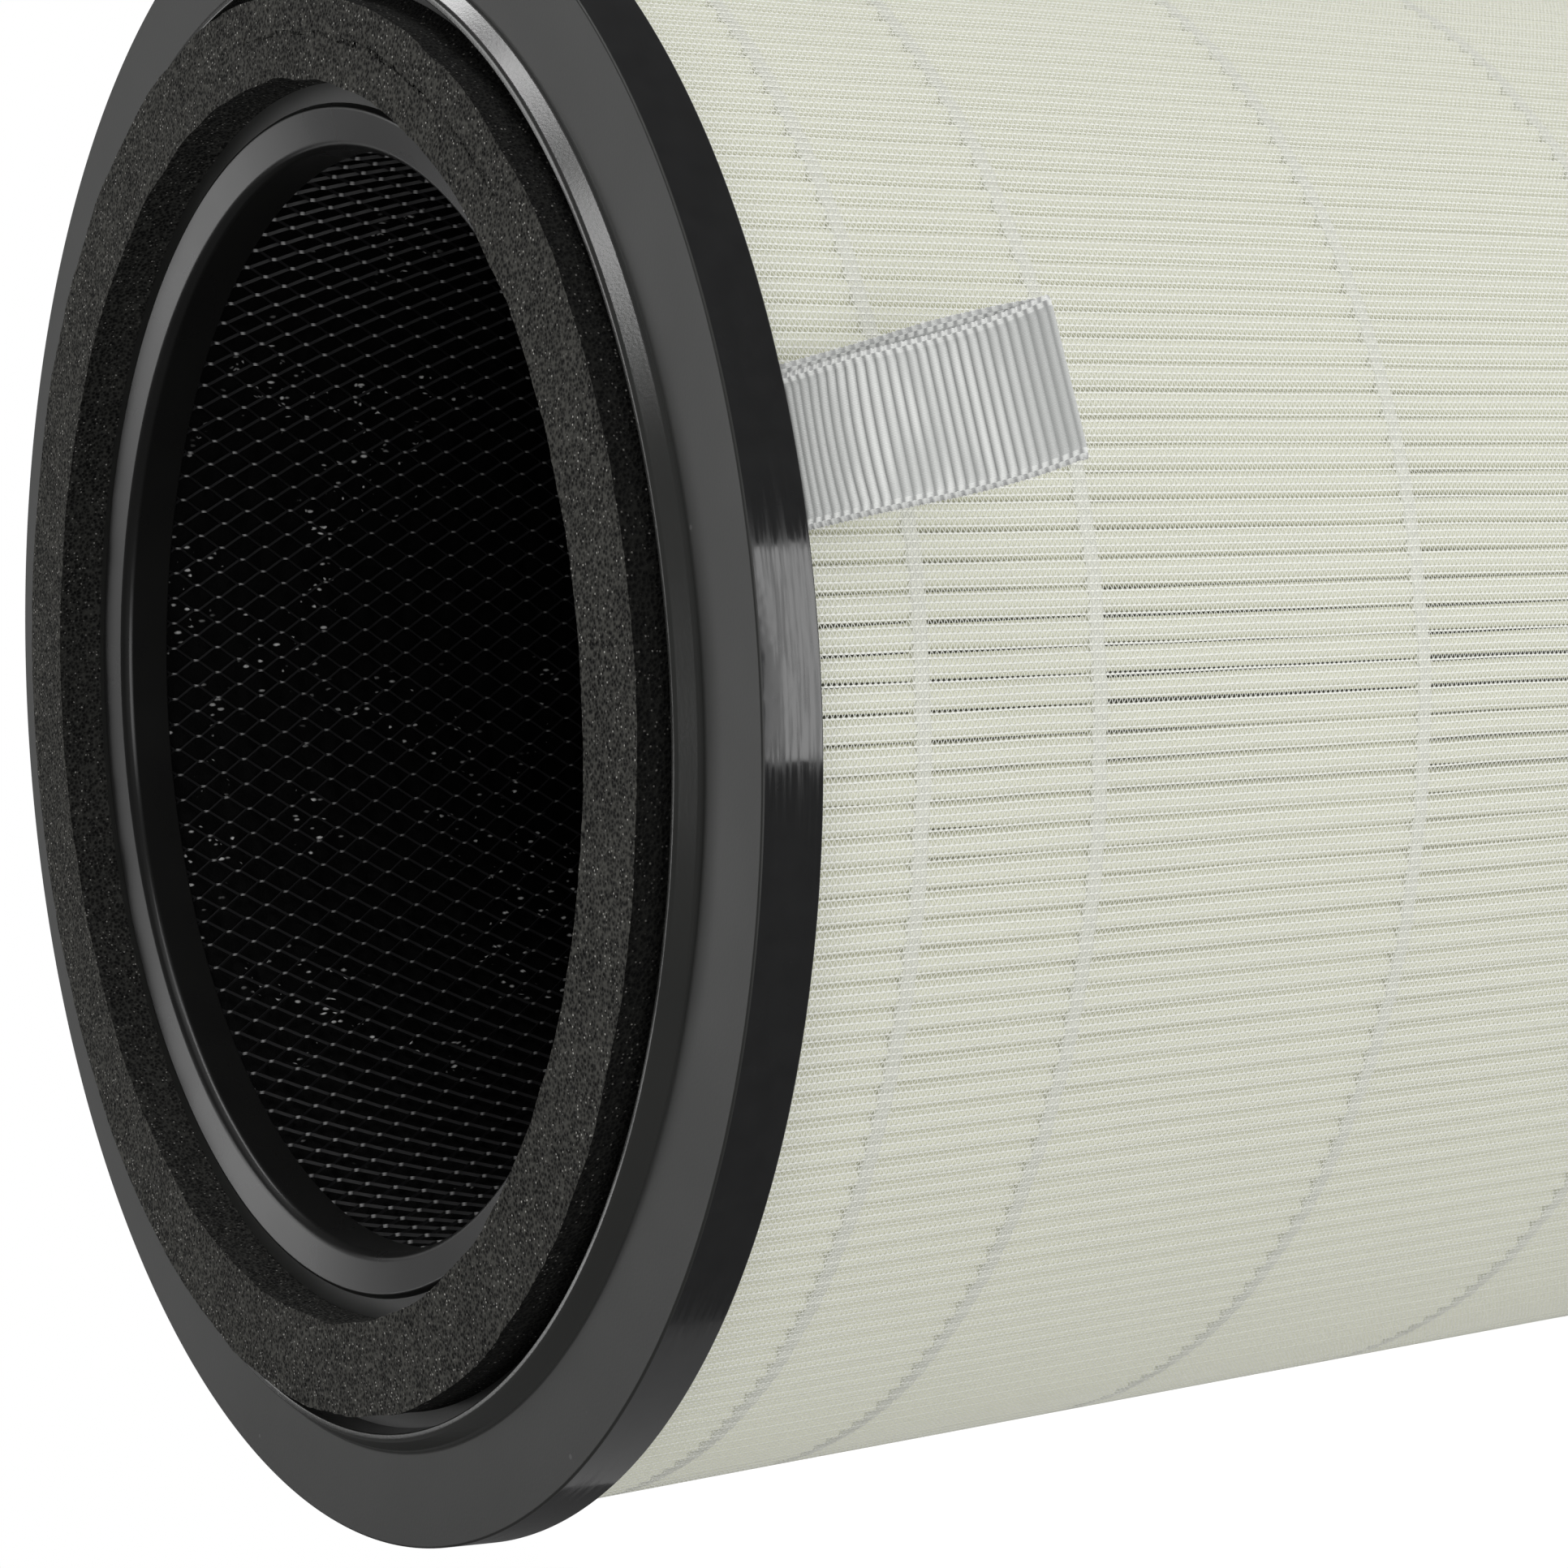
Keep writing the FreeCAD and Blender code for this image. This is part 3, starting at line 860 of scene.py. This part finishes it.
def ribbon_point(run, across):
    """A point of the ribbon, run metres from its first end and across metres from its middle."""
    side = 1 if run < ribbon_whole / 2 else -1
    out = min(run, ribbon_whole - run) - tuck
    share = max(0.0, min(1.0, out / ribbon_length))
    slide = -ribbon_droop * (0.5 + share) if side > 0 else ribbon_slide
    if out < 0:
        away = Vector((0, -1, 0)) * side * fold_radius
        return root_point + away + Vector((across + slide, 0, -out))
    bend = min(1.0, out / root_bend)
    leave = Vector((0, -1, 0)).lerp(ribbon_aside, bend).normalized()
    over = max(0.0, out - ribbon_length) / fold_radius
    bulge = math.sin(math.pi * min(1.0, share / slack_reach)) ** 2 * ribbon_slack
    arch = math.sin(math.pi * share) * ribbon_arch
    bow = ribbon_bow * (1 - (2 * across / ribbon_width) ** 2) * math.sin(math.pi * min(1.0, share * 2.2)) ** 2
    centre = root_point + ribbon_along * (min(out, ribbon_length) - bow) + ribbon_aside * arch
    centre += ribbon_along * fold_radius * math.sin(over)
    lift = leave * side * (fold_radius * math.cos(over) + bulge)
    twist = ribbon_twist * share ** 1.2
    across_way = Vector((1, 0, 0)) * math.cos(twist) + ribbon_aside * math.sin(twist)
    return centre + lift + across_way * (across + slide * (1 - share ** 4))


def ribbon_finish():
    """Grey yarn with a silky lustre, and painted shade in the rib valleys, between the edge beads and towards
    the rim and the fold, so it is brightest half-way.
    """
    bright_run = (tuck + ribbon_length / 2) / rib_pitch
    finish = Finish("grosgrain", IOR=1.5, Specular_IOR_Level=0.6, Sheen_Weight=0.2)
    run, across, _ = finish.node("SeparateXYZ", Vector=finish.node("TexCoord")["UV"]).values()
    valley = abs(run % 1.0 - 0.5) * 2.0
    warp = abs(across / 0.17 % 1.0 - 0.5) * 2.0
    lustre = finish.noise(finish.vector(run * 0.22, across * 0.08, 0.0), 1.0, 1.0)
    # Painted shade: the valleys between the ribs are dark and their crests light.
    ribs = finish.blend(valley * valley, (0.77, 0.78, 0.76), (0.23, 0.235, 0.23))
    # Painted shade darkens the ribs towards the rim and the fold of the loop, and the lustre noise paints
    # patches of weaker sheen.
    painted_end_shade = finish.between(abs(run - bright_run), 5.0, 13.0) * 0.75
    ribs = finish.blend(finish.between(lustre, 0.35, 0.7) * 0.5 | painted_end_shade, ribs, (0.42, 0.43, 0.42))
    from_middle = abs(across)
    braid = abs((run + (from_middle > 8.45) * 0.5) % 1.0 - 0.5) * 2.0
    # Painted shade: the gaps between the beads of the edges are dark.
    beads = finish.blend(finish.between(braid, 0.35, 0.9), (0.74, 0.75, 0.73), (0.38, 0.385, 0.38))
    selvedge = finish.between(from_middle, 7.85, 7.95)
    finish.set(Base_Color=finish.blend(selvedge, ribs, beads))
    finish.set(Roughness=0.30 + warp * 0.14)
    finish.bump(warp, 0.04 * MM, 0.7)
    return finish


ribbon_mesh = bmesh.new()
run_cuts = int(ribbon_whole / rib_pitch * RIB_CUTS)
bmesh.ops.create_grid(ribbon_mesh, x_segments=run_cuts, y_segments=RIBBON_CUTS, size=1.0)
weave = ribbon_mesh.loops.layers.uv.new("weave")
for side in ribbon_mesh.faces:
    for corner in side.loops:
        run = (corner.vert.co.x + 1) / 2 * ribbon_whole / rib_pitch
        corner[weave].uv = (run, corner.vert.co.y * ribbon_width / 2 / MM)
nudge = 0.05 * MM
for vertex in ribbon_mesh.verts:
    run = (vertex.co.x + 1) / 2 * ribbon_whole
    across = vertex.co.y * ribbon_width / 2
    ahead = ribbon_point(min(run + nudge, ribbon_whole), across) - ribbon_point(max(run - nudge, 0), across)
    outward = ribbon_point(run, across + nudge) - ribbon_point(run, across - nudge)
    phase = math.pi * run / rib_pitch
    from_edge = ribbon_width / 2 - abs(across)
    if from_edge > edge_width:
        lift = abs(math.sin(phase)) * rib_rise
    else:
        cord = math.sin(math.pi * from_edge / edge_width)
        lift = (cord_base + cord_rise * abs(math.sin(phase + 2 * from_edge / MM))) * cord
        across += math.copysign(edge_waver * math.sin(2 * phase), across) * (1 - from_edge / edge_width)
    vertex.co = ribbon_point(run, across) + ahead.cross(outward).normalized() * lift
smoothed(ribbon_mesh, 80)
ribbon = shape("grosgrain_loop", ribbon_mesh, (ribbon_finish(),), "ribbon", "pull_ribbon")
body = ribbon.modifiers.new("ribbon_thickness", "SOLIDIFY")
body.thickness = ribbon_thickness
body.offset = -1

# Studio
# A pale floor that fades into a white surround. Three soft lamps stand at the side that is the top of the
# picture and two behind it, for the sheen of the cap. One in front lightens the folds, and the polished rim
# reflects two small ones near the floor.


def floor_finish():
    """Pale, and clear towards its edge. The lens sees it white but for the object's shadow."""
    finish = Finish("pale_floor", Roughness=0.9, Specular_IOR_Level=0.0)
    place = finish.place()
    tone = finish.noise(place, 3.0, 2.0)
    _, radius, _ = finish.round_place()
    finish.set(Base_Color=finish.blend(tone, (0.84, 0.84, 0.84), (0.88, 0.88, 0.88)))
    finish.set(Alpha=finish.between(radius, 0.30, 0.50, 1.0, 0.0))
    finish.set(Emission_Color=(1.0, 1.0, 1.0, 1.0))
    finish.set(Emission_Strength=finish.node("LightPath")["Is Camera Ray"] * 0.5)
    return finish


floor_mesh = bmesh.new()
bmesh.ops.create_circle(floor_mesh, segments=96, radius=0.55, cap_ends=True)
floor_data = bpy.data.meshes.new("floor")
floor_mesh.to_mesh(floor_data)
floor_mesh.free()
floor = bpy.data.objects.new("floor", floor_data)
floor_data.materials.append(floor_finish().material)
bpy.context.scene.collection.objects.link(floor)

world = bpy.data.worlds.new("studio")
world.use_nodes = True
bpy.context.scene.world = world
surround = world.node_tree.nodes["Background"]
rays = world.node_tree.nodes.new("ShaderNodeLightPath")
seen = Wire(rays.outputs["Is Camera Ray"])
mirrored = Wire(rays.outputs["Is Glossy Ray"])
ambient = 0.54
glossy_ambient = 0.095
surround.inputs["Color"].default_value = (1.0, 1.0, 1.0, 1.0)
plug(surround.inputs["Strength"], ambient + seen * (1.0 - ambient) - mirrored * (ambient - glossy_ambient))


def soft_lamp(name, place, aim, width, height, power):
    """A rectangular lamp at a place, turned to its aim, in metres and watts."""
    data = bpy.data.lights.new(name, "AREA")
    data.shape = "RECTANGLE"
    data.size = width
    data.size_y = height
    data.energy = power
    lamp = bpy.data.objects.new(name, data)
    lamp.location = place
    lamp.rotation_euler = (Vector(aim) - Vector(place)).to_track_quat("-Z", "Y").to_euler()
    lamp.visible_camera = False
    bpy.context.scene.collection.objects.link(lamp)


lamp_aim = (0, 0, 0.18)
rim_front = (0, -0.115, 0.247)
rim_left = (-0.08, -0.08, 0.25)
soft_lamp("top_key", (0.97, 0.12, 0.34), lamp_aim, 0.5, 0.14, 1.45)
soft_lamp("upper_key", (0.87, -0.3, 0.48), lamp_aim, 0.5, 0.14, 1.45)
soft_lamp("front_key", (0.64, -0.62, 0.66), lamp_aim, 0.5, 0.14, 1.2)
soft_lamp("above_behind", (0.35, 0.85, 1.0), lamp_aim, 1.1, 0.4, 3.6)
soft_lamp("low_behind", (0.2, 1.2, 0.42), lamp_aim, 0.9, 0.14, 0.3)
soft_lamp("front_fill", (-0.45, -1.3, 0.6), lamp_aim, 0.8, 0.8, 6.2)
soft_lamp("rim_light", (-0.085, -0.5, 0.03), rim_front, 0.22, 0.10, 0.40)
soft_lamp("rim_fill", (-0.44, 0.15, 0.05), rim_left, 0.3, 0.2, 0.065)
